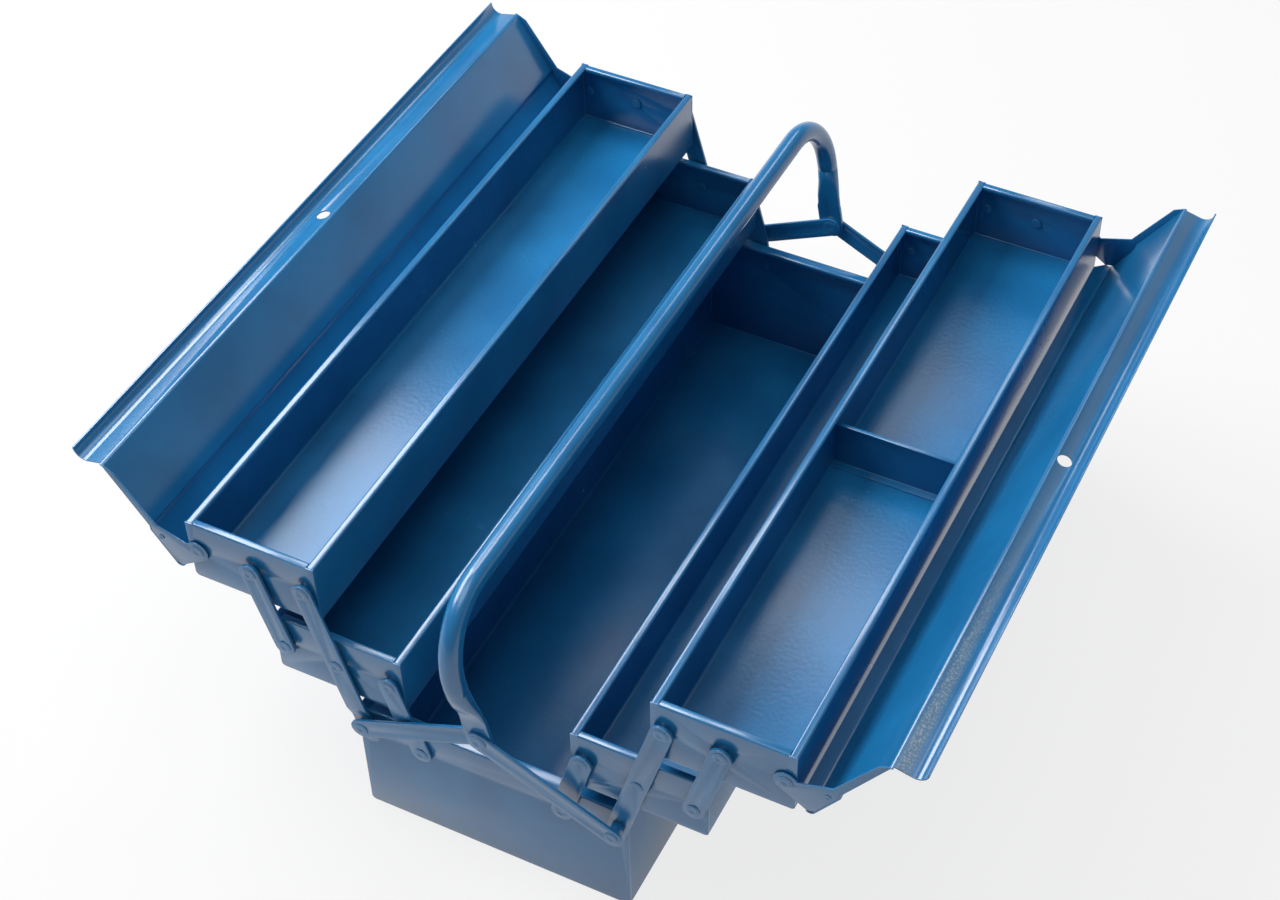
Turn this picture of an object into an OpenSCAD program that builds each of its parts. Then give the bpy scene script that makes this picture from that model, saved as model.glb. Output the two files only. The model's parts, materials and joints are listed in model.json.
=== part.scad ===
// Five-compartment cantilever tool box, shown with its trays swung out and its lids open.
// X runs across the box, Y along it (the near end is at -Y) and Z is up. The origin is the
// middle of the base's underside. Every piece is drawn for the right-hand side or the near
// end first and mirrored to its twin.

/* [Box] */
// Length of the base and trays, between the outside faces of their ends
box_len = 540; // [400:10:700]
// Width of the base
box_w = 200; // [180:2:230]
// Height of the base to the top of its rim
base_h = 102; // [90:1:130]
// Height of each tray to the top of its rim
tray_h = 50; // [46:1:60]
// Thickness of the body's sheet steel
sheet = 1; // [0.8:0.1:1.4]
// Gap between the left and right trays when the box is shut
centre_gap = 9; // [7:0.5:14]
// Gap between one tray and the next when the box is shut
stack_gap = 2; // [1:0.5:4]

/* [Rims and folds] */
// Width of the base's turned-in rim
base_rim_w = 8.5; // [6:0.5:12]
// Width of each tray's turned-in rim
tray_rim_w = 5.5; // [4:0.5:8]
// Height of the edge turned down at the inside of a rim
rim_drop = 3; // [2:0.5:5]
// Inside radius of the folds along a rim
rim_fold_r = 0.5; // [0.3:0.1:1]
// Inside radius of the folds along a floor
floor_fold_r = 2; // [1:0.5:4]

/* [Linkage] */
// Outward lean of the long links when the trays are swung out
open_lean = 15.5; // [8:0.5:20]
// Depth of the link pivots below a rim
pivot_drop = 22.5; // [20:0.5:26]
// Distance from a tray's inner wall to its nearest link pivot
pivot_inset = 8.75; // [8:0.25:12]
// Width of a link
link_w = 15; // [13:0.5:17]
// Thickness of a link
link_t = 2; // [1.5:0.1:2.5]
// Gap between a tray's end and the links beside it
link_off = 2.4; // [2.2:0.1:4]
// Gap between the base's end and the links beside it
base_link_off = 0.3; // [0.2:0.1:0.6]
// Distance up a link from its base pivot to where it steps outward
step_from = 18; // [17:0.5:20]
// Length of that step
step_len = 8; // [6:0.5:10]

/* [Rivets] */
// Diameter of a rivet's shank
rivet_d = 5; // [4:0.25:6]
// Diameter of a rivet's domed head
head_d = 10; // [9:0.25:10.5]
// Height of a rivet's low domed head
head_h = 0.8; // [0.7:0.1:1.2]
// Diameter of the dimple in a rivet's head
dimple_d = 5; // [3:0.25:5.5]
// Depth of that dimple
dimple_depth = 0.5; // [0.3:0.05:0.5]
// Diameter of the shoulder that holds a link off its tray
shoulder_d = 9; // [7:0.25:9.5]
// Diameter of a rivet's clenched tail
tail_d = 7.5; // [6.5:0.25:9]
// Height of a rivet's clenched tail
tail_h = 1; // [0.6:0.1:1.5]
// Radial clearance of a link, stay or lid on its rivet
run_clear = 0.05; // [0.02:0.01:0.1]
// End play of a link, stay or lid along its rivet
end_play = 0.1; // [0.05:0.05:0.2]

/* [Stays] */
// Slope of the stays when the trays are swung out
stay_slope = 25.8; // [20:0.1:30]
// Distance up a long link from its base pivot to the stay's rivet
stay_up = 10; // [9.75:0.25:10.5]
// Width of a stay
stay_w = 15.5; // [14:0.5:17]
// Thickness of a stay
stay_t = 2; // [1.5:0.1:2.5]
// Diameter of the pivot in the middle of each end
centre_pin_d = 6; // [5:0.25:7]
// Diameter of that pivot's heads
centre_head_d = 12; // [11.5:0.25:14]
// Radial play of the stays on the centre pivot
centre_play = 1.6; // [1.4:0.1:2]

/* [Handle] */
// Sideways lean of the handle, toward the left
handle_lean = 10; // [0:1:15]
// Height of the handle's grip above its pivots, to the middle of the tube
handle_h = 106; // [104:1:130]
// Diameter of the handle's tube
handle_d = 15.2; // [14:0.2:16]
// Wall thickness of the handle's tube
handle_wall = 1.2; // [1:0.1:1.6]
// Radius of the handle's bends, to the middle of the tube
handle_bend_r = 48; // [40:1:50]
// Width of the handle's flattened ends
flat_w = 19; // [18:0.5:22]
// Length of a flattened end above its pivot
flat_len = 17; // [14:0.5:18]
// Length of the change from flat end to round tube
flare_len = 34; // [24:1:35]

/* [Lids] */
// Angle through which a lid opens
lid_angle = 119; // [110:1:119]
// Distance from a tray's outer wall to its lid's hinge
hinge_inset = 6.4; // [6:0.2:7]
// Depth of a lid's hinge below the tray's rim
hinge_drop = 24; // [23:0.5:26]
// Distance from a tray's outer wall to the outside of a lid's skirt
skirt_over = 4.6; // [4:0.1:5.4]
// Depth of a lid's skirt below the tray's rim
skirt_drop = 9; // [7:0.5:9.5]
// Length of the slanted cut at each end of a lid's skirt
skirt_cut = 10; // [6:1:14]
// Height of a lid's outer edge above the tray's rim
edge_rise = 2.2; // [2.2:0.2:4]
// Outside radius of the fold along a lid's outer edge
edge_fold_r = 3.5; // [2.5:0.5:5]
// Slope of a lid's top from its edge up to the lip, in degrees
lid_pitch = 4.4; // [4:0.2:5]
// Distance from a lid's outer edge to the step along it
step_in = 32; // [28:1:36]
// Height of that step
lid_step = 1.8; // [1.2:0.2:1.8]
// Width of that step
lid_step_w = 3; // [2.5:0.5:4]
// Lean of the lip's flat from upright
lip_lean = 15; // [10:1:18]
// Length of the lip's flat
lip_flat = 12.5; // [12:0.5:14]
// Outside radius of the lip's round edge
lip_r = 8.4; // [7:0.2:9]
// Angle at which that round edge ends, from level outward
lip_turn = 120; // [100:5:140]
// Gap between the two lips when the box is shut
lip_gap = 6; // [4:0.5:8]
// Outside radius of a lid's other folds
lid_fold_r = 2; // [1.5:0.5:3]
// Diameter of the padlock hole in a lip
lock_d = 10; // [8:0.5:10.5]
// Distance from the lip's fold to the middle of the padlock hole
lock_up = 6.5; // [6:0.25:7]
// Gap between a tray's end and the lid's end plate beside it
plate_off = 0.6; // [0.4:0.1:0.8]
// Depth of an end plate's flange along the lid
plate_flange = 6.2; // [5:0.1:8]
// Radius of an end plate's hinge ear
ear_r = 8; // [7:0.5:8]

/* [Divider] */
// Height of the divider in the upper right tray
divider_h = 38; // [30:1:40]
// Place of the divider along the tray, from its middle
divider_y = 5; // [-150:5:150]
// Width of the divider's foot and of its turned-over top
divider_foot = 7; // [5:0.5:10]

/* [Hidden] */
$fn = 48;

// Colours of the painted steel, in its lit, shaded and pale parts
BLUE = "#2569a5";
DEEP_BLUE = "#1d5488";
PALE_BLUE = "#3f82ba";

LEFT = -1;
RIGHT = 1;
LOWER = 0;
UPPER = 1;
NEAR = -1;
FAR = 1;

// Cuts run this far past the faces they open
cut = 1;
// Steps in a fold's arc and in a lip's round edge
fold_steps = 5;
lip_steps = 24;
// Steps in the curves of a rivet's head
dome_steps = 5;
// Steps in the flare of a handle's end, and the thickness of the sections between them
flare_steps = 3;
section_t = 0.1;
// Height of the fold piece let into the top of an end plate
top_band = 5;

// Trays: width, and height of the pivots inside a tray
tray_w = (box_w - centre_gap) / 2;
pivot_up = tray_h - pivot_drop;
tray_top = tray_h - pivot_up;
// Distance between neighbouring pivots along one tray
pitch = tray_w / 2 - pivot_inset;

// Base pivots, and the step that carries one tray to the next along the links
mid_x = centre_gap / 2 + tray_w / 2;
pivot_z = base_h - pivot_drop;
rise = tray_h + stack_gap;
stage = norm([pitch, rise]);
stage_step = stage * [sin(open_lean), cos(open_lean)];
base_outer = [mid_x + pitch, pivot_z];
base_inner = [mid_x, pivot_z];

// Stays: outer rivet, length, and height of the centre pivot
stay_foot = base_outer + stay_up * [sin(open_lean), cos(open_lean)];
stay_len = stay_foot[0] / cos(stay_slope);
centre_z = stay_foot[1] + stay_foot[0] * tan(stay_slope);

// Layers outward from the end faces: long links, the left stays, the handle's flat ends and
// the right stays
step_off = base_link_off + link_t;
link_top = link_off + link_t;
stay_off_left = link_top + head_h + 2 * end_play + 0.2;
handle_off = stay_off_left + stay_t + end_play;
handle_flat_t = 2 * handle_wall + 0.2;
handle_axis_off = handle_off + handle_d / 2;
stay_off_right = handle_off + handle_flat_t + end_play;

// Lid: hinge, folds and lip, in the shut position, with x from the box's middle and z from
// the upper tray's rim
hinge_shut = [box_w / 2 - hinge_inset, -hinge_drop];
skirt_x = box_w / 2 + skirt_over;
lip_centre_x = lip_gap / 2 - lip_r * cos(lip_turn);
lip_fold_x = lip_centre_x + lip_r * cos(lip_lean) + lip_flat * sin(lip_lean);
edge_at = [skirt_x, edge_rise];
step_top = edge_at + step_in * [-1, tan(lid_pitch)];
step_foot = step_top - [lid_step_w, lid_step];
lip_fold = [lip_fold_x, step_foot[1] + (step_foot[0] - lip_fold_x) * tan(lid_pitch)];
lip_start = lip_fold + lip_flat * [-sin(lip_lean), cos(lip_lean)];
lip_centre = lip_start - lip_r * [cos(lip_lean), sin(lip_lean)];
lid_len = box_len + 2 * (plate_off + sheet);
ear_tangent = 145;

// ---- Points along folded sheet ----

function unit(v) = v / norm(v);
function left_of(v) = [-v[1], v[0]];
function side_normal(a, b) = left_of(unit(b - a));

// The point at r from centre c in the direction of angle a
function polar(c, r, a) = c + r * [cos(a), sin(a)];

// The arc of radius r that rounds the corner at b between a and c
function corner_arc(a, b, c, r) =
    let (
        u = unit(a - b),
        v = unit(c - b),
        half = acos(u * v) / 2,
        centre = b + unit(u + v) * r / sin(half),
        first = b + u * r / tan(half) - centre,
        turn = (180 - 2 * half) * (cross(u, v) < 0 ? 1 : -1),
        start = atan2(first[1], first[0])
    )
    [for (k = [0:fold_steps]) polar(centre, r, start + turn * k / fold_steps)];

// A path whose inner corners are rounded by the radii given, where 0 leaves a corner sharp
function rounded(p, radii) = [
    for (i = [0:len(p) - 1])
        each (i == 0 || i == len(p) - 1 || radii[i] == 0)
            ? [p[i]]
            : corner_arc(p[i - 1], p[i], p[i + 1], radii[i])
];

// The same path moved to its left by t, with mitred corners
function moved_left(p, t) = [
    for (i = [0:len(p) - 1])
        let (
            last = len(p) - 1,
            before = i == 0 ? side_normal(p[0], p[1]) : side_normal(p[i - 1], p[i]),
            after = i == last ? side_normal(p[last - 1], p[last]) : side_normal(p[i], p[i + 1])
        )
        p[i] + t * (before + after) / (1 + before * after)
];

function reversed(p) = [for (i = [len(p) - 1:-1:0]) p[i]];

// ---- Placing ----

// Sets the child on the left or the right side
module on_side(side) {
    if (side == LEFT)
        mirror([1, 0, 0]) children();
    else
        children();
}

// Stands a flat child, drawn in X and Z with its thickness outward, on the near or far end
module on_end(end) {
    if (end == FAR)
        mirror([0, 1, 0]) translate([0, -box_len / 2, 0]) rotate([90, 0, 0]) children();
    else
        translate([0, -box_len / 2, 0]) rotate([90, 0, 0]) children();
}

// Runs a child profile, drawn in X and Z, along the box
module along(length) {
    rotate([90, 0, 0])
        linear_extrude(height = length, center = true)
            children();
}

// The middle link pivot of a tray on the right-hand side, swung out
function tray_at(level) = base_outer + (level + 1) * stage_step + [level * pitch, 0];

module at_tray(side, level) {
    place = tray_at(level);
    on_side(side) translate([place[0], 0, place[1]]) children();
}

// ---- Shared shapes ----

// Sheet folded along a path, with its thickness to the path's left
module folded_profile(path) {
    polygon(concat(path, reversed(moved_left(path, sheet))));
}

function pan_path(w, low, top, rim_w) = rounded(
    [
        [rim_w - w / 2, top - rim_drop],
        [rim_w - w / 2, top],
        [-w / 2, top],
        [-w / 2, low],
        [w / 2, low],
        [w / 2, top],
        [w / 2 - rim_w, top],
        [w / 2 - rim_w, top - rim_drop]
    ],
    [
        0,
        rim_fold_r + sheet,
        rim_fold_r + sheet,
        floor_fold_r + sheet,
        floor_fold_r + sheet,
        rim_fold_r + sheet,
        rim_fold_r + sheet,
        0
    ]
);

// A floor and two long walls with turned-in rims, between the end plates
module pan(w, low, top, rim_w) {
    along(box_len - 2 * sheet) folded_profile(pan_path(w, low, top, rim_w));
}

// Outline of an end plate: square at the top, rounded like the pan at the floor
function end_outline(w, low, top) = rounded(
    [[0, top], [-w / 2, top], [-w / 2, low], [w / 2, low], [w / 2, top], [0, top]],
    [0, 0, floor_fold_r + sheet, floor_fold_r + sheet, 0, 0]
);

// An end plate with its rim, its outside face at depth 0 and its rim turned inward
module end_plate(w, low, top, rim_w) {
    rim_len = w - 2 * rim_w;
    difference() {
        translate([0, 0, -sheet])
            linear_extrude(height = sheet)
                polygon(end_outline(w, low, top));
        translate([-rim_len / 2, top - top_band, -sheet - cut])
            cube([rim_len, top_band + cut, sheet + 2 * cut]);
    }
    rotate([90, 0, 90])
        linear_extrude(height = rim_len, center = true)
            folded_profile(rounded(
                [[top - rim_drop, -rim_w], [top, -rim_w], [top, 0], [top - top_band, 0]],
                [0, rim_fold_r + sheet, rim_fold_r + sheet, 0]
            ));
}

module rivet_holes(places, d) {
    for (place = places)
        translate([place[0], place[1], -sheet - cut])
            cylinder(d = d, h = sheet + 2 * cut);
}

// A low domed head on a flat seat, with a dished dimple in its middle
module dome(d, h) {
    brink = acos(dimple_d / d);
    brink_z = h * sin(brink);
    rotate_extrude()
        polygon(concat(
            [[0, 0]],
            [for (k = [0:dome_steps])
                [d / 2 * cos(brink * k / dome_steps), h * sin(brink * k / dome_steps)]],
            [for (k = [1:dome_steps])
                [dimple_d / 2 * (1 - k / dome_steps), brink_z - dimple_depth * sin(90 * k / dome_steps)]]
        ));
}

// A shoulder rivet that holds a piece lying between the depths off and off + t
module rivet(off, t) {
    head_at = off + t + end_play;
    translate([0, 0, -sheet])
        cylinder(d = rivet_d, h = sheet + head_at);
    cylinder(d = shoulder_d, h = off - end_play);
    translate([0, 0, head_at])
        dome(head_d, head_h);
    translate([0, 0, -sheet - tail_h])
        cylinder(d = tail_d, h = tail_h);
}

// ---- Base ----

module base_pan() {
    color(BLUE) pan(box_w, 0, base_h, base_rim_w);
}

function base_pivots() = [
    for (side = [LEFT, RIGHT], place = [base_inner, base_outer]) [side * place[0], place[1]]
];

module base_end(end) {
    color(DEEP_BLUE)
        on_end(end)
            difference() {
                end_plate(box_w, 0, base_h, base_rim_w);
                rivet_holes(base_pivots(), rivet_d);
            }
}

module base_rivets() {
    color(BLUE)
        for (end = [NEAR, FAR], place = base_pivots())
            on_end(end)
                translate([place[0], place[1], 0])
                    rivet(base_link_off, link_t);
}

// ---- Trays ----

// Link pivots of a tray, from its middle one
function tray_pivots(level) = level == UPPER ? [-pitch, 0] : [-pitch, 0, pitch];

hinge_in_tray = [tray_w / 2 - hinge_inset, tray_top - hinge_drop];

module tray_pan(side, level) {
    color(BLUE)
        at_tray(side, level)
            pan(tray_w, -pivot_up, tray_top, tray_rim_w);
}

module tray_end(side, level, end) {
    color(DEEP_BLUE)
        at_tray(side, level)
            on_end(end)
                difference() {
                    end_plate(tray_w, -pivot_up, tray_top, tray_rim_w);
                    rivet_holes([for (x = tray_pivots(level)) [x, 0]], rivet_d);
                    if (level == UPPER)
                        rivet_holes([hinge_in_tray], rivet_d);
                }
}

module tray_rivets(side, level) {
    color(BLUE)
        at_tray(side, level)
            for (end = [NEAR, FAR])
                on_end(end) {
                    for (x = tray_pivots(level))
                        translate([x, 0, 0]) rivet(link_off, link_t);
                    if (level == UPPER)
                        translate([hinge_in_tray[0], hinge_in_tray[1], 0])
                            rivet(plate_off, sheet);
                }
}

// The divider stands on a foot, fits between the walls and follows the folds at the floor
module tray_divider() {
    floor_z = sheet - pivot_up;
    color(PALE_BLUE)
        at_tray(RIGHT, UPPER)
            translate([0, divider_y, 0])
                intersection() {
                    rotate([90, 0, 90])
                        linear_extrude(height = tray_w, center = true)
                            folded_profile(rounded(
                                [
                                    [-divider_foot, floor_z],
                                    [0, floor_z],
                                    [0, floor_z + divider_h],
                                    [-divider_foot / 2, floor_z + divider_h]
                                ],
                                [0, rim_fold_r + sheet, rim_fold_r + sheet, 0]
                            ));
                    along(4 * divider_foot)
                        polygon(rounded(
                            [
                                [0, tray_top],
                                [sheet - tray_w / 2, tray_top],
                                [sheet - tray_w / 2, floor_z],
                                [tray_w / 2 - sheet, floor_z],
                                [tray_w / 2 - sheet, tray_top],
                                [0, tray_top]
                            ],
                            [0, 0, floor_fold_r, floor_fold_r, 0, 0]
                        ));
                }
}

// ---- Links and stays ----

// A strip with round ends about its first and last pivots, lying along +Y
module strip(length, w, t) {
    cylinder(d = w, h = t);
    translate([0, length, 0]) cylinder(d = w, h = t);
    translate([-w / 2, 0, 0]) cube([w, length, t]);
}

// Depth of a stepped link along its length: close to the base, then out beside the trays
module step_profile(length) {
    polygon([
        [-link_w, base_link_off],
        [step_from, base_link_off],
        [step_from + step_len, link_off],
        [length + link_w, link_off],
        [length + link_w, link_top],
        [step_from + step_len, link_top],
        [step_from, step_off],
        [-link_w, step_off]
    ]);
}

module link_bores(places) {
    for (s = places)
        translate([0, s, 0]) cylinder(d = rivet_d + 2 * run_clear, h = link_top + cut);
}

module stepped_link(length) {
    intersection() {
        strip(length, link_w, link_top + cut);
        rotate([90, 0, 90])
            linear_extrude(height = 2 * link_w, center = true)
                step_profile(length);
    }
}

// Stands a link on a pivot at the open lean
module at_pivot(side, end, place) {
    on_side(side)
        on_end(end)
            translate([place[0], place[1], 0])
                rotate([0, 0, -open_lean])
                    children();
}

module long_link(side, end) {
    color(BLUE)
        at_pivot(side, end, base_outer)
            difference() {
                stepped_link(2 * stage);
                link_bores([0, stage, 2 * stage]);
                translate([0, stay_up, 0]) cylinder(d = rivet_d, h = link_top + cut);
            }
}

module lower_link(side, end) {
    color(BLUE)
        at_pivot(side, end, base_inner)
            difference() {
                stepped_link(stage);
                link_bores([0, stage]);
            }
}

module upper_link(side, end) {
    color(BLUE)
        at_pivot(side, end, tray_at(LOWER) + [pitch, 0])
            difference() {
                translate([0, 0, link_off]) strip(stage, link_w, link_t);
                link_bores([0, stage]);
            }
}

function stay_off(side) = side == LEFT ? stay_off_left : stay_off_right;

module stay(side, end) {
    color(BLUE)
        on_side(side)
            on_end(end)
                translate([stay_foot[0], stay_foot[1], stay_off(side)])
                    rotate([0, 0, 90 - stay_slope])
                        difference() {
                            strip(stay_len, stay_w, stay_t);
                            translate([0, 0, -cut])
                                cylinder(d = rivet_d + 2 * run_clear, h = stay_t + 2 * cut);
                            translate([0, stay_len, -cut])
                                cylinder(d = centre_pin_d + 2 * centre_play, h = stay_t + 2 * cut);
                        }
}

// The rivets fixed in the long links, with the shoulders that carry the stays
module stay_rivets(side) {
    head_at = stay_off(side) + stay_t + end_play;
    color(BLUE)
        for (end = [NEAR, FAR])
            on_side(side)
                on_end(end)
                    translate([stay_foot[0], stay_foot[1], 0]) {
                        translate([0, 0, base_link_off])
                            cylinder(d = rivet_d, h = head_at - base_link_off);
                        translate([0, 0, step_off])
                            cylinder(d = shoulder_d, h = stay_off(side) - end_play - step_off);
                        translate([0, 0, head_at])
                            dome(head_d, head_h);
                    }
}

// ---- Centre pivots and handle ----

module centre_pivots() {
    back = stay_off_left - end_play;
    front = stay_off_right + stay_t + end_play;
    color(BLUE)
        for (end = [NEAR, FAR])
            on_end(end)
                translate([0, centre_z, 0]) {
                    translate([0, 0, back])
                        cylinder(d = centre_pin_d, h = front - back);
                    translate([0, 0, back])
                        mirror([0, 0, 1]) dome(centre_head_d, head_h);
                    translate([0, 0, front])
                        dome(centre_head_d, head_h);
                }
}

// The round part of the handle, r in radius, standing on its pivots' height
module bail(r) {
    axis_y = box_len / 2 + handle_axis_off;
    leg_from = flat_len + flare_len;
    leg_to = handle_h - handle_bend_r;
    for (end = [NEAR, FAR]) {
        translate([0, end * axis_y, leg_from])
            cylinder(r = r, h = leg_to - leg_from);
        translate([0, end * (axis_y - handle_bend_r), leg_to])
            rotate([0, 0, end * 90])
                rotate([90, 0, 0])
                    rotate_extrude(angle = 90)
                        translate([handle_bend_r, 0]) circle(r = r);
    }
    translate([0, 0, handle_h])
        rotate([90, 0, 0])
            cylinder(r = r, h = 2 * (axis_y - handle_bend_r), center = true);
}

// A section of the tube pressed to w by t at a height up, flush with the handle's inner side
module pressed(w, t, up) {
    for (s = [-1, 1])
        translate([s * (w - t) / 2, up, handle_off + t / 2])
            rotate([90, 0, 0]) cylinder(d = t, h = section_t, $fn = 32);
}

// A flattened end and its flare up to the round tube, drawn as on the near end
module handle_end() {
    difference() {
        union() {
            translate([0, 0, handle_off])
                strip(flat_len, flat_w, handle_flat_t);
            for (k = [1:flare_steps])
                hull() {
                    for (share = [(k - 1) / flare_steps, k / flare_steps]) {
                        eased = (1 - cos(180 * share)) / 2;
                        pressed(
                            flat_w + (handle_d - flat_w) * eased,
                            handle_flat_t + (handle_d - handle_flat_t) * eased,
                            flat_len + flare_len * share
                        );
                    }
                }
        }
        translate([0, 0, handle_off - cut])
            cylinder(d = centre_pin_d + 2 * run_clear, h = handle_flat_t + 2 * cut);
    }
}

module handle() {
    color(BLUE)
        translate([0, 0, centre_z])
            rotate([0, -handle_lean, 0]) {
                difference() {
                    bail(handle_d / 2);
                    bail(handle_d / 2 - handle_wall);
                }
                for (end = [NEAR, FAR])
                    on_end(end) handle_end();
            }
}

// ---- Lids ----

lip_arc = [
    for (k = [0:lip_steps])
        polar(lip_centre, lip_r, lip_lean + (lip_turn - lip_lean) * k / lip_steps)
];

lid_path = concat(
    rounded(
        [[skirt_x, -skirt_drop], edge_at, step_top, step_foot, lip_fold, lip_start],
        [0, edge_fold_r, lid_fold_r, lid_fold_r, lid_fold_r, 0]
    ),
    [for (k = [1:lip_steps]) lip_arc[k]]
);

// Puts a lid, drawn shut with z from the tray's rim, at its open angle
module at_lid(side) {
    at_tray(side, UPPER)
        translate([hinge_in_tray[0], 0, hinge_in_tray[1]])
            rotate([0, lid_angle, 0])
                translate([-hinge_shut[0], 0, -hinge_shut[1]])
                    children();
}

module lid_panel(side) {
    lock_at = lip_fold + lock_up * [-sin(lip_lean), cos(lip_lean)];
    color(BLUE)
        at_lid(side)
            difference() {
                along(lid_len) folded_profile(lid_path);
                for (end = [NEAR, FAR])
                    scale([1, end, 1]) {
                        // The lip stops at the ends of the tray
                        translate([-cut, box_len / 2, lip_fold[1] + lid_fold_r / 2])
                            cube([lip_fold[0] + cut, lid_len, 3 * lip_r]);
                        // The corners of the skirt are cut away
                        translate([skirt_x - 2 * sheet, 0, 0])
                            rotate([90, 0, 90])
                                linear_extrude(height = 3 * sheet)
                                    polygon([
                                        [lid_len / 2 - skirt_cut, -skirt_drop],
                                        [lid_len / 2 - skirt_cut, -skirt_drop - cut],
                                        [lid_len / 2 + cut, -skirt_drop - cut],
                                        [lid_len / 2 + cut, edge_rise - edge_fold_r]
                                    ]);
                    }
                translate([lock_at[0], 0, lock_at[1]])
                    rotate([0, 90 - lip_lean, 0])
                        cylinder(d = lock_d, h = 4 * sheet, center = true);
            }
}

// A plate under each end of a lid, with the ear that turns on the tray's hinge rivet
module lid_plate(side, end) {
    under = moved_left([[skirt_x, -skirt_drop], edge_at, step_top, step_foot, lip_fold], sheet);
    color(DEEP_BLUE)
        at_lid(side)
            on_end(end)
                translate([0, 0, plate_off])
                    difference() {
                        linear_extrude(height = sheet)
                            union() {
                                polygon([
                                    under[4],
                                    lip_fold + plate_flange * [1, -0.85],
                                    step_foot - [0, plate_flange],
                                    polar(hinge_shut, ear_r, ear_tangent),
                                    hinge_shut,
                                    hinge_shut + [ear_r, 0],
                                    under[1] - [0, edge_fold_r],
                                    under[1] + edge_fold_r * unit(under[2] - under[1]),
                                    under[2],
                                    under[3]
                                ]);
                                translate(hinge_shut) circle(r = ear_r);
                            }
                        translate([hinge_shut[0], hinge_shut[1], -cut])
                            cylinder(d = rivet_d + 2 * run_clear, h = sheet + 2 * cut);
                    }
}

// ---- The pieces ----

base_pan();
base_end(NEAR);  // base_end_near
base_end(FAR);  // base_end_far
base_rivets();
tray_pan(LEFT, LOWER);  // left_lower_tray_pan
tray_end(LEFT, LOWER, NEAR);  // left_lower_tray_end_near
tray_end(LEFT, LOWER, FAR);  // left_lower_tray_end_far
tray_rivets(LEFT, LOWER);  // left_lower_tray_rivets
tray_pan(LEFT, UPPER);  // left_upper_tray_pan
tray_end(LEFT, UPPER, NEAR);  // left_upper_tray_end_near
tray_end(LEFT, UPPER, FAR);  // left_upper_tray_end_far
tray_rivets(LEFT, UPPER);  // left_upper_tray_rivets
tray_pan(RIGHT, LOWER);  // right_lower_tray_pan
tray_end(RIGHT, LOWER, NEAR);  // right_lower_tray_end_near
tray_end(RIGHT, LOWER, FAR);  // right_lower_tray_end_far
tray_rivets(RIGHT, LOWER);  // right_lower_tray_rivets
tray_pan(RIGHT, UPPER);  // right_upper_tray_pan
tray_end(RIGHT, UPPER, NEAR);  // right_upper_tray_end_near
tray_end(RIGHT, UPPER, FAR);  // right_upper_tray_end_far
tray_rivets(RIGHT, UPPER);  // right_upper_tray_rivets
tray_divider();
lid_panel(LEFT);  // left_lid_panel
lid_plate(LEFT, NEAR);  // left_lid_plate_near
lid_plate(LEFT, FAR);  // left_lid_plate_far
lid_panel(RIGHT);  // right_lid_panel
lid_plate(RIGHT, NEAR);  // right_lid_plate_near
lid_plate(RIGHT, FAR);  // right_lid_plate_far
long_link(LEFT, NEAR);  // left_long_link_near
long_link(LEFT, FAR);  // left_long_link_far
long_link(RIGHT, NEAR);  // right_long_link_near
long_link(RIGHT, FAR);  // right_long_link_far
lower_link(LEFT, NEAR);  // left_lower_link_near
lower_link(LEFT, FAR);  // left_lower_link_far
lower_link(RIGHT, NEAR);  // right_lower_link_near
lower_link(RIGHT, FAR);  // right_lower_link_far
upper_link(LEFT, NEAR);  // left_upper_link_near
upper_link(LEFT, FAR);  // left_upper_link_far
upper_link(RIGHT, NEAR);  // right_upper_link_near
upper_link(RIGHT, FAR);  // right_upper_link_far
stay(LEFT, NEAR);  // left_stay_near
stay(LEFT, FAR);  // left_stay_far
stay(RIGHT, NEAR);  // right_stay_near
stay(RIGHT, FAR);  // right_stay_far
stay_rivets(LEFT);  // left_stay_rivets
stay_rivets(RIGHT);  // right_stay_rivets
centre_pivots();
handle();
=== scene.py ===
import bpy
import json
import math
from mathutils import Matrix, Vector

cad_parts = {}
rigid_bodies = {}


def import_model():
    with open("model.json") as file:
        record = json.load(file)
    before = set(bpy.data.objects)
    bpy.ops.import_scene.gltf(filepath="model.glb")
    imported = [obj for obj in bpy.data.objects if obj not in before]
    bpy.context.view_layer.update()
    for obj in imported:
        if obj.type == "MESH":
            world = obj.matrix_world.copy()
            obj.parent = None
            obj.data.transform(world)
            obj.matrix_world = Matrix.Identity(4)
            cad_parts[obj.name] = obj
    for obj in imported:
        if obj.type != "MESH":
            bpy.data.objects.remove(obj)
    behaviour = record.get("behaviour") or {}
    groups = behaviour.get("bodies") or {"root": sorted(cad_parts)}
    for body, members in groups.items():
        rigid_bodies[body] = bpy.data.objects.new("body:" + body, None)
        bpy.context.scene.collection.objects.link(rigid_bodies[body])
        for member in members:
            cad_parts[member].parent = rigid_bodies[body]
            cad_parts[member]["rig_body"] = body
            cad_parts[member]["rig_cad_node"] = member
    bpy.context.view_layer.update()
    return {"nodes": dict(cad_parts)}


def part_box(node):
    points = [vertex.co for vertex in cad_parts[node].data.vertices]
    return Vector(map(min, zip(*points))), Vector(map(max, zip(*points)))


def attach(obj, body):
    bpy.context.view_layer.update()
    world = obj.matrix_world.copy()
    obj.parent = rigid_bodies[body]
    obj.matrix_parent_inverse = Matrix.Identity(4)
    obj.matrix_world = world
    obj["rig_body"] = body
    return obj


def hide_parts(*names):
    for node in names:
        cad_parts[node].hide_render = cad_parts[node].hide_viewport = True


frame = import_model()

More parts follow.
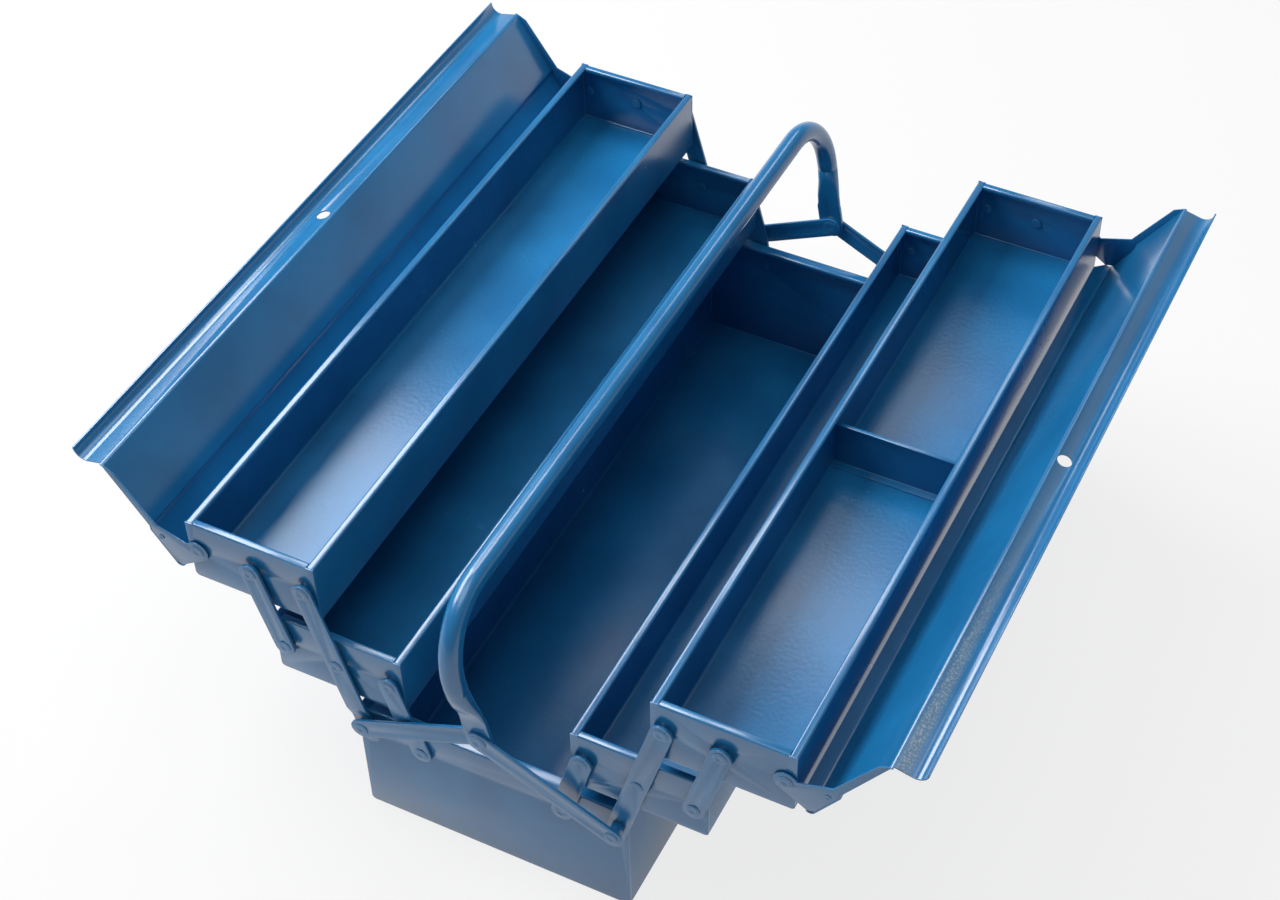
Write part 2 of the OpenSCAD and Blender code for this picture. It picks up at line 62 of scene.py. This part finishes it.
# %% [markdown]
# # A cantilever tool box in blue enamel
#
# The box is an open steel trough with two trays on each side. Flat links carry the trays, so
# that they swing out level like steps. Each upper tray has a hinged lid, and a bent tube is the
# handle. Every sheet is about a millimetre thick and sprayed with one semi-gloss blue enamel.
#
# Working order: measure, camera, studio, enamel, sheet pieces, linkage, handle, small details.

MM = 0.001

# %% [markdown]
# ## Camera
#
# A camera looks along its own -Z axis, with +Y up in the picture. Three directions fix it: where
# it looks, what is to its right and what is up. A long lens from above keeps the long trays
# from fanning out too much, as a catalogue picture does.

# %% Camera
camera_at = Vector((0.50348, -1.01129, 1.29482))
look = Vector((-0.301645, 0.619596, -0.724646))
right_hand = Vector((0.899027, 0.437892, 0.000179))
up_hand = right_hand.cross(look).normalized()

camera_data = bpy.data.cameras.new("catalogue_camera")
camera_data.lens = 64.34
camera_data.sensor_width = 36.0
camera_data.shift_x = -0.03808
camera_data.shift_y = 0.02463
camera = bpy.data.objects.new("catalogue_camera", camera_data)
bpy.context.scene.collection.objects.link(camera)
turn = Matrix((right_hand, up_hand, -look)).transposed().to_4x4()
camera.matrix_world = Matrix.Translation(camera_at) @ turn
bpy.context.scene.camera = camera
print("camera stands", round(camera_at.length, 2), "m away")

# %% [markdown]
# ## Nodes without fuss
#
# A material is a graph of nodes. One small function adds a node, sets its values and links its
# inputs, so that each recipe below reads from top to bottom like a list of ingredients.

# %% One function for every node, and one for colour
def add_node(graph, kind, settings=None, **inputs):
    made = graph.nodes.new(kind)
    for name, value in (settings or {}).items():
        setattr(made, name, value)
    for name, value in inputs.items():
        socket = made.inputs[int(name[1:])] if name[0] == "_" else made.inputs[name.replace("_", " ")]
        if isinstance(value, bpy.types.NodeSocket):
            graph.links.new(value, socket)
        else:
            socket.default_value = value
    return made


def linear(hex_code):
    shares = [int(hex_code[k:k + 2], 16) / 255 for k in (1, 3, 5)]
    straight = [s / 12.92 if s <= 0.04045 else ((s + 0.055) / 1.055) ** 2.4 for s in shares]
    return (*straight, 1.0)


def fresh_material(name):
    material = bpy.data.materials.new(name)
    material.use_nodes = True
    graph = material.node_tree
    graph.nodes.clear()
    return material, graph


print("pure white is", linear("#ffffff")[:3])

# %% [markdown]
# ## Studio floor
#
# The box stands on white paper. A plane takes its shadow, and the paper is partly lit from
# within for the eye and for reflections, so that it stays white without more light on the box.
# Plain diffuse paint alone would turn grey wherever the trays keep the light off it.

# %% Floor
PAPER_GLOW = 0.8
PAPER_WIDTH = 24.0
PAPER_DROP = 0.4 * MM

bpy.ops.object.select_all(action="DESELECT")
bpy.ops.mesh.primitive_plane_add(size=PAPER_WIDTH, location=(0, 0, -PAPER_DROP))
floor = bpy.context.object
floor.name = "studio_floor"
floor_paint, graph = fresh_material("matt_white_studio_paper")
path = add_node(graph, "ShaderNodeLightPath")
seen = path.outputs["Is Camera Ray"]
for other in ("Is Glossy Ray", "Is Transmission Ray"):
    either = add_node(graph, "ShaderNodeMath", {"operation": "MAXIMUM"}, _0=seen, _1=path.outputs[other])
    seen = either.outputs[0]
share = add_node(graph, "ShaderNodeMath", {"operation": "MULTIPLY"}, _0=seen, _1=PAPER_GLOW)
matt = add_node(graph, "ShaderNodeBsdfDiffuse", Color=linear("#dcdcdc"))
glow = add_node(graph, "ShaderNodeEmission", Color=linear("#ffffff"), Strength=1.0)
paper = add_node(graph, "ShaderNodeMixShader", _0=share.outputs[0], _1=matt.outputs[0], _2=glow.outputs[0])
add_node(graph, "ShaderNodeOutputMaterial", Surface=paper.outputs[0])
floor.data.materials.append(floor_paint)
print("floor", floor.name, "spans", round(floor.dimensions.x), "m")

# %% [markdown]
# ## Sky
#
# Enamel shows what stands round it, so the studio is part of the finish. The room is pale near
# the horizon, where a white wall would stand, and dim overhead. That keeps the tray floors deep
# blue, and leaves the bright reflections to the lamps. A little more light just above the
# horizon makes the wall as white as the paper, so that no edge shows between them.

# %% Sky
HORIZON_GLOW = 0.27
WALL_LIGHT = 0.55
CEILING_LIGHT = 0.17
WALL_SINE = (0.02, 0.40)
GLOW_SINE = 0.25

world = bpy.data.worlds.new("studio_room")
world.use_nodes = True
bpy.context.scene.world = world
graph = world.node_tree
graph.nodes.clear()
aim = add_node(graph, "ShaderNodeTexCoord")
height = add_node(graph, "ShaderNodeSeparateXYZ", Vector=aim.outputs["Generated"])
band = add_node(
    graph, "ShaderNodeMapRange", {"interpolation_type": "SMOOTHSTEP"},
    Value=height.outputs["Z"], From_Min=WALL_SINE[0], From_Max=WALL_SINE[1],
    To_Min=WALL_LIGHT, To_Max=CEILING_LIGHT
)
glow = add_node(
    graph, "ShaderNodeMapRange",
    Value=height.outputs["Z"], From_Min=0.0, From_Max=GLOW_SINE, To_Min=HORIZON_GLOW, To_Max=0.0
)
light = add_node(graph, "ShaderNodeMath", {"operation": "ADD"}, _0=band.outputs[0], _1=glow.outputs[0])
sky = add_node(graph, "ShaderNodeBackground", Color=linear("#ffffff"), Strength=light.outputs[0])
add_node(graph, "ShaderNodeOutputWorld", Surface=sky.outputs[0])
bpy.context.scene.view_settings.view_transform = "Standard"
print("the walls fade into the ceiling", round(math.degrees(math.asin(WALL_SINE[1]))), "degrees up")

# %% [markdown]
# ## Lamps
#
# One large soft box hangs to the left of the box, about 35 degrees off the zenith. It lights
# the upper floors and the right-hand lid, and the walls keep it off the deep compartments. A
# level rim near the camera mirrors its far edge and turns white; further away the same rim
# mirrors the dim ceiling and stays blue. Two weak panels behind the box lay a grey sheen on the
# right-hand floor, and a broad ceiling panel opens up the shadows.


# %% Lamps
LAMP_AIM = Vector((0, 0, 0.2))


def soft_lamp(name, place, size, brightness):
    data = bpy.data.lights.new(name, "AREA")
    data.shape = "RECTANGLE"
    data.size, data.size_y = size
    data.energy = brightness * math.pi * size[0] * size[1]
    lamp = bpy.data.objects.new(name, data)
    lamp.location = place
    to_box = LAMP_AIM - Vector(place)
    lamp.rotation_euler = to_box.to_track_quat("-Z", "Y").to_euler()
    bpy.context.scene.collection.objects.link(lamp)


soft_lamp("soft_box", (-1.09, 0.08, 1.64), (1.60, 0.92), 8.8)
soft_lamp("ceiling_panel", (0.30, -0.30, 2.60), (1.60, 1.40), 2.1)
soft_lamp("near_panel", (-0.36, 0.84, 2.00), (0.45, 0.50), 7.0)
soft_lamp("far_panel", (-0.25, 2.10, 2.00), (0.50, 0.90), 3.5)

# %% [markdown]
# ## Blue stoving enamel on sheet steel
#
# The paint is sprayed and baked: a hard film full of blue pigment, which flows out smooth but
# keeps a faint orange-peel ripple some 3 mm across and a few nibs of dust. It pulls thin over
# sharp edges, where the colour turns paler. The sheet under it isn't quite flat either. All
# this can be computed from the place on the piece, so no picture has to be painted. Enamel has
# an index near 1.5; a thick glossy film mirrors a little more, as if its index were higher.

# %% Enamel
PAINT_BLUE = "#1b70a6"
PAINT_DEEP = "#186498"
EDGE_PALE = "#4a8fc4"
THICK_FILM = 1.75
THIN_FILM = 1.45
CLOUD = 62.5 * MM
WAVE = 83.3 * MM
WAVE_HEIGHT = 0.2 * MM
PEEL = 3.03 * MM
EDGE_R = 0.8 * MM
NIB_SPACING = 25.0 * MM
NIB_R = 0.4 * MM
NIB_HEIGHT = 0.02 * MM
GLOSS_SWING = 0.04


def stoved_enamel(name, roughness, peel_height, index):
    material, graph = fresh_material(name)
    place = add_node(graph, "ShaderNodeTexCoord").outputs["Object"]
    # Clouds of slightly thicker paint
    clouds = add_node(
        graph, "ShaderNodeTexNoise", Vector=place, Scale=1 / CLOUD, Detail=3.0, Roughness=0.5
    )
    spread = add_node(
        graph, "ShaderNodeMapRange", Value=clouds.outputs[0], From_Min=0.35, From_Max=0.65
    )
    coat = add_node(
        graph, "ShaderNodeMix", {"data_type": "RGBA"},
        _0=spread.outputs[0], _6=linear(PAINT_DEEP), _7=linear(PAINT_BLUE)
    )
    # Paint pulls away from edges: there a rounded-off normal leaves the true one
    rounded = add_node(graph, "ShaderNodeBevel", {"samples": 4}, Radius=EDGE_R)
    true = add_node(graph, "ShaderNodeNewGeometry")
    agree = add_node(
        graph, "ShaderNodeVectorMath", {"operation": "DOT_PRODUCT"},
        _0=rounded.outputs[0], _1=true.outputs["Normal"]
    )
    thin = add_node(
        graph, "ShaderNodeMapRange", Value=agree.outputs["Value"], From_Min=1.0, From_Max=0.85, To_Max=0.5
    )
    colour = add_node(
        graph, "ShaderNodeMix", {"data_type": "RGBA"},
        _0=thin.outputs[0], _6=coat.outputs[2], _7=linear(EDGE_PALE)
    )
    # Dust nibs under the film: low specks, spread wide apart
    nibs = add_node(graph, "ShaderNodeTexVoronoi", Vector=place, Scale=1 / NIB_SPACING)
    nib = add_node(
        graph, "ShaderNodeMapRange", {"interpolation_type": "SMOOTHSTEP"},
        Value=nibs.outputs["Distance"], From_Min=0.0, From_Max=NIB_R / NIB_SPACING, To_Min=1.0, To_Max=0.0
    )
    # Fine orange peel over a slow wave of the sheet itself
    peel = add_node(graph, "ShaderNodeTexNoise", Vector=place, Scale=1 / PEEL, Detail=1.0)
    wave = add_node(graph, "ShaderNodeTexNoise", Vector=place, Scale=1 / WAVE, Detail=1.0)
    slow = add_node(graph, "ShaderNodeBump", Height=wave.outputs[0], Strength=1.0, Distance=WAVE_HEIGHT)
    speck = add_node(
        graph, "ShaderNodeBump", Height=nib.outputs[0], Strength=1.0, Distance=NIB_HEIGHT,
        Normal=slow.outputs[0]
    )
    ripple = add_node(
        graph, "ShaderNodeBump", Height=peel.outputs[0], Strength=1.0, Distance=peel_height,
        Normal=speck.outputs[0]
    )
    rough = add_node(
        graph, "ShaderNodeMapRange", Value=clouds.outputs[0],
        To_Min=roughness - GLOSS_SWING, To_Max=roughness + GLOSS_SWING
    )
    skin = add_node(
        graph, "ShaderNodeBsdfPrincipled", Base_Color=colour.outputs[2],
        Roughness=rough.outputs[0], IOR=index, Normal=ripple.outputs[0]
    )
    add_node(graph, "ShaderNodeOutputMaterial", Surface=skin.outputs[0])
    return material


sheet_enamel = stoved_enamel("stoved_blue_enamel_on_sheet", 0.20, 0.02 * MM, THICK_FILM)
bar_enamel = stoved_enamel("stoved_blue_enamel_on_links", 0.24, 0.02 * MM, THICK_FILM)
wall_enamel = stoved_enamel("stoved_blue_enamel_on_walls", 0.26, 0.03 * MM, THIN_FILM)
floor_enamel = stoved_enamel("stoved_blue_enamel_on_floors", 0.26, 0.10 * MM, THIN_FILM)
print("enamels:", [m.name for m in (sheet_enamel, bar_enamel, wall_enamel, floor_enamel)])

# %% [markdown]
# ## The lip with a painted reflection
#
# The right-hand lid's lip flat carries a painted grey reflection in its colour, and its gloss is lower.
# The same enamel is made once more, and a mask on that flat mixes a greyer blue into its colour
# as a painted reflection and raises its roughness. The mask is built from the distance to the lip's
# middle line. Near the near end, pale flecks 1 to 2 mm across are painted into that reflection.

# %% Lip with a painted reflection
# Colours of a painted grey reflection on the lip flat, with pale painted flecks in it
REFLECTION_GREY_BLUE = "#406484"
REFLECTION_FLECK_GREY = "#8d9c98"
LIP_MIDDLE = 275.5 * MM
LIP_FLAT = (2.0 * MM, 6.0 * MM)
FLECKS_FADE = (-190 * MM, -60 * MM)
FLECK = 1.43 * MM
REFLECTION_SHARE = 0.75
DULLING = 0.20


# Paints a grey reflection into the lip flat's colour and raises its roughness there
def paint_reflection_on_lip(material):
    graph = material.node_tree
    skin = next(n for n in graph.nodes if n.type == "BSDF_PRINCIPLED")
    colour = skin.inputs["Base Color"].links[0].from_socket
    rough = skin.inputs["Roughness"].links[0].from_socket
    place = add_node(graph, "ShaderNodeTexCoord").outputs["Object"]
    across = add_node(graph, "ShaderNodeSeparateXYZ", Vector=place)
    off = add_node(graph, "ShaderNodeMath", {"operation": "SUBTRACT"}, _0=across.outputs["X"], _1=LIP_MIDDLE)
    off = add_node(graph, "ShaderNodeMath", {"operation": "ABSOLUTE"}, _0=off.outputs[0])
    flat = add_node(
        graph, "ShaderNodeMapRange", Value=off.outputs[0],
        From_Min=LIP_FLAT[0], From_Max=LIP_FLAT[1], To_Min=1.0, To_Max=0.0
    )
    length = add_node(
        graph, "ShaderNodeMapRange", Value=across.outputs["Y"],
        From_Min=FLECKS_FADE[0], From_Max=FLECKS_FADE[1], To_Min=1.0, To_Max=0.0
    )
    speckle = add_node(
        graph, "ShaderNodeTexNoise", Vector=place, Scale=1 / FLECK, Detail=2.0, Roughness=0.7
    )
    bright = add_node(graph, "ShaderNodeMapRange", Value=speckle.outputs[0], From_Min=0.50, From_Max=0.62)
    flecks = add_node(
        graph, "ShaderNodeMath", {"operation": "MULTIPLY"}, _0=bright.outputs[0], _1=length.outputs[0]
    )
    # Painted reflection: a greyer blue, with pale painted flecks towards the near end
    painted_reflection = add_node(
        graph, "ShaderNodeMix", {"data_type": "RGBA"},
        _0=flecks.outputs[0], _6=linear(REFLECTION_GREY_BLUE), _7=linear(REFLECTION_FLECK_GREY)
    )
    mask = add_node(
        graph, "ShaderNodeMath", {"operation": "MULTIPLY"}, _0=flat.outputs[0], _1=REFLECTION_SHARE
    )
    # The painted reflection is mixed into the colour on the flat, and the roughness rises there too
    reflection_mixed = add_node(
        graph, "ShaderNodeMix", {"data_type": "RGBA"}, _0=mask.outputs[0], _6=colour, _7=painted_reflection.outputs[2]
    )
    dull = add_node(
        graph, "ShaderNodeMath", {"operation": "MULTIPLY_ADD"}, _0=mask.outputs[0], _1=DULLING, _2=rough
    )
    graph.links.new(reflection_mixed.outputs[2], skin.inputs["Base Color"])
    graph.links.new(dull.outputs[0], skin.inputs["Roughness"])


# The lip's enamel, with a painted grey reflection on its flat
lip_enamel = stoved_enamel("stoved_blue_enamel_with_painted_lip_reflection", 0.20, 0.02 * MM, THICK_FILM)
paint_reflection_on_lip(lip_enamel)
print("flecks on the lip fade out at y", round(FLECKS_FADE[1] / MM), "mm")

# %% [markdown]
# ## Finishing a folded sheet
#
# The frame's own pieces arrive as loose triangles. A copy is welded, its flat faces are merged,
# a hair-fine bevel softens what shears have cut, and smooth shading runs round the folds. The
# bevel is a modifier at first, since it finds the sharp edges by their angle. A pan gets two more
# coats below its rim, one for its walls and one for its floor.

# %% Welding, softening and placing a copy
BELOW_RIM = 4 * MM
SAME_POINT = 0.002 * MM
SHEET_SOFT = 0.25 * MM
RIVET_SOFT = 0.15 * MM


def finished_copy(node, soft, material):
    bpy.ops.object.select_all(action="DESELECT")
    source = frame["nodes"][node]
    source.select_set(True)
    bpy.context.view_layer.objects.active = source
    bpy.ops.object.duplicate()
    piece = bpy.context.object
    piece.name = piece.data.name = node + "_enamelled"
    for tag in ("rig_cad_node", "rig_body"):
        if tag in piece:
            del piece[tag]
    piece.parent = None
    bpy.ops.object.mode_set(mode="EDIT")
    bpy.ops.mesh.select_all(action="SELECT")
    bpy.ops.mesh.remove_doubles(threshold=SAME_POINT)
    bpy.ops.mesh.dissolve_limited(angle_limit=math.radians(0.5))
    bpy.ops.object.mode_set(mode="OBJECT")
    bevel = piece.modifiers.new("soft edge", "BEVEL")
    bevel.width = soft
    bevel.segments = 2
    bevel.limit_method = "ANGLE"
    bevel.angle_limit = math.radians(40)
    bpy.ops.object.modifier_apply(modifier=bevel.name)
    bpy.ops.object.shade_smooth_by_angle(angle=math.radians(35))
    piece.data.materials.clear()
    piece.data.materials.append(material)
    if node.endswith("_pan"):
        for inside in (wall_enamel, floor_enamel):
            piece.data.materials.append(inside)
        rim = max(v.co.z for v in piece.data.vertices)
        for face in piece.data.polygons:
            if face.center.z < rim - BELOW_RIM:
                face.material_index = 2 if face.normal.z > 0.9 else 1
    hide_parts(node)
    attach(piece, source["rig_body"])
    return piece


for node in sorted(frame["nodes"]):
    flat_bar = "link" in node or "stay" in node or "pivots" in node or "rivets" in node
    paint = bar_enamel if flat_bar else lip_enamel if node == "right_lid_panel" else sheet_enamel
    made = finished_copy(node, RIVET_SOFT if "rivets" in node else SHEET_SOFT, paint)
print("finished", len(frame["nodes"]), "sheet and bar pieces")

# %% [markdown]
# ## Paint beads in the seams
#
# Where an end plate meets the folded trough, paint runs into the seam and leaves a thin round
# bead, which draws a light line round the ends of every floor. Its path is a U: down one wall,
# across the floor and up the other. An upright plane gives the U. Its lower corners are bevelled
# to the floor's fold, its top edge is deleted, and the rest becomes a curve with a thickness.

# %% Seam beads
BEAD_R = 0.7 * MM
SINK = 0.25 * MM
SHEET = 1.0 * MM
FLOOR_FOLD_R = 2.0 * MM
UNDER_RIM = 2.0 * MM


def seam_bead(pan, name):
    low, high = (Vector(corner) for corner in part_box(pan))
    inset = SHEET + SINK
    width = high.x - low.x - 2 * inset
    depth = high.z - UNDER_RIM - low.z - inset
    middle = Vector(((low.x + high.x) / 2, low.y + SINK, low.z + inset + depth / 2))
    bpy.ops.object.select_all(action="DESELECT")
    bpy.ops.mesh.primitive_plane_add(size=1.0, location=middle, rotation=(math.radians(90), 0, 0))
    bead = bpy.context.object
    bead.name = bead.data.name = name
    bead.scale = (width, depth, 1.0)
    bpy.ops.object.transform_apply(location=True, rotation=True, scale=True)
    bpy.ops.object.mode_set(mode="EDIT")
    bpy.ops.mesh.select_mode(type="VERT")
    bpy.ops.mesh.select_all(action="DESELECT")
    bpy.ops.object.mode_set(mode="OBJECT")
    for corner in bead.data.vertices:
        corner.select = corner.co.z < middle.z
    bpy.ops.object.mode_set(mode="EDIT")
    bpy.ops.mesh.bevel(offset=FLOOR_FOLD_R, segments=4, affect="VERTICES")
    bpy.ops.mesh.select_mode(type="EDGE")
    bpy.ops.mesh.select_all(action="DESELECT")
    bpy.ops.object.mode_set(mode="OBJECT")
    points = bead.data.vertices
    for edge in bead.data.edges:
        edge.select = all(points[k].co.z > middle.z for k in edge.vertices)
    bpy.ops.object.mode_set(mode="EDIT")
    bpy.ops.mesh.delete(type="EDGE")
    bpy.ops.object.mode_set(mode="OBJECT")
    bpy.ops.object.convert(target="CURVE")
    bead.data.bevel_depth = BEAD_R
    bead.data.bevel_resolution = 2
    bead.data.use_fill_caps = True
    bpy.ops.object.convert(target="MESH")
    bpy.ops.object.shade_smooth()
    bead.data.materials.clear()
    bead.data.materials.append(sheet_enamel)
    return bead


def copied_to(piece, name, offset):
    bpy.ops.object.select_all(action="DESELECT")
    piece.select_set(True)
    bpy.context.view_layer.objects.active = piece
    bpy.ops.object.duplicate()
    twin = bpy.context.object
    twin.name = twin.data.name = name
    bpy.ops.transform.translate(value=offset)
    bpy.ops.object.transform_apply(location=True, rotation=False, scale=False)
    return twin


def settled(piece, body):
    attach(piece, body)


TRAYS = ["left_lower_tray", "left_upper_tray", "right_lower_tray", "right_upper_tray"]
beads = 0
for model, users in (("base", ["base"]), ("left_lower_tray", TRAYS)):
    first = seam_bead(model + "_pan", model + "_bead_near")
    model_low, model_high = (Vector(corner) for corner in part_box(model + "_pan"))
    run = Vector((0, model_high.y - model_low.y - 2 * SINK, 0))
    for user in users:
        shift = Vector(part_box(user + "_pan")[0]) - model_low
        near = first if user == model else copied_to(first, user + "_bead_near", shift)
        far = copied_to(first, user + "_bead_far", shift + run)
        settled(near, user)
        settled(far, user)
        beads += 2
print("seam beads:", beads)

# %% [markdown]
# ## Spot welds on the lid plates
#
# Each end plate of a lid is welded to its panel beside the deepest fold. The electrode leaves a
# shallow round crater with a raised lip, about 4 mm wide. A short cylinder is laid against the
# plate, its outer face is inset and pushed back in, and its edges are bevelled.

# %% Spot welds
WELD_D = 4.0 * MM
WELD_LIP = 0.35 * MM
WELD_SOFT = 0.12 * MM
WELD_X = 233.5 * MM
WELD_Z = 204.5 * MM


def spot_weld(name, x, face_y):
    bpy.ops.object.select_all(action="DESELECT")
    bpy.ops.mesh.primitive_cylinder_add(
        vertices=32, radius=WELD_D / 2, depth=2 * WELD_LIP, location=(x, face_y, WELD_Z),
        rotation=(math.radians(90), 0, 0)
    )
    weld = bpy.context.object
    weld.name = weld.data.name = name
    bpy.ops.object.transform_apply(location=True, rotation=True, scale=True)
    bpy.ops.object.mode_set(mode="EDIT")
    bpy.ops.mesh.select_mode(type="FACE")
    bpy.ops.mesh.select_all(action="DESELECT")
    bpy.ops.object.mode_set(mode="OBJECT")
    for face in weld.data.polygons:
        face.select = face.normal.y < -0.9
    bpy.ops.object.mode_set(mode="EDIT")
    bpy.ops.mesh.inset(thickness=WELD_D / 7, depth=0)
    bpy.ops.mesh.inset(thickness=WELD_D / 10, depth=-0.8 * WELD_LIP)
    bpy.ops.object.mode_set(mode="OBJECT")
    rounded = weld.modifiers.new("soft edge", "BEVEL")
    rounded.width = WELD_SOFT
    rounded.segments = 2
    rounded.limit_method = "ANGLE"
    bpy.ops.object.modifier_apply(modifier=rounded.name)
    bpy.ops.object.shade_smooth_by_angle(angle=math.radians(40))
    weld.data.materials.append(sheet_enamel)
    return weld


near_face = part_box("right_lid_plate_near")[0][1]
for side, body in ((-1, "left_lid"), (1, "right_lid")):
    near = spot_weld(body + "_weld_near", side * WELD_X, near_face)
    far = copied_to(near, body + "_weld_far", (0, 0, 0))
    bpy.ops.object.mode_set(mode="EDIT")
    bpy.ops.mesh.select_all(action="SELECT")
    bpy.ops.transform.mirror(constraint_axis=(False, True, False), center_override=(0, 0, 0))
    bpy.ops.mesh.normals_make_consistent(inside=False)
    bpy.ops.object.mode_set(mode="OBJECT")
    settled(near, body)
    settled(far, body)
    print("spot welds on", body, "at y", round(near_face / MM, 1), "and", round(-near_face / MM, 1))
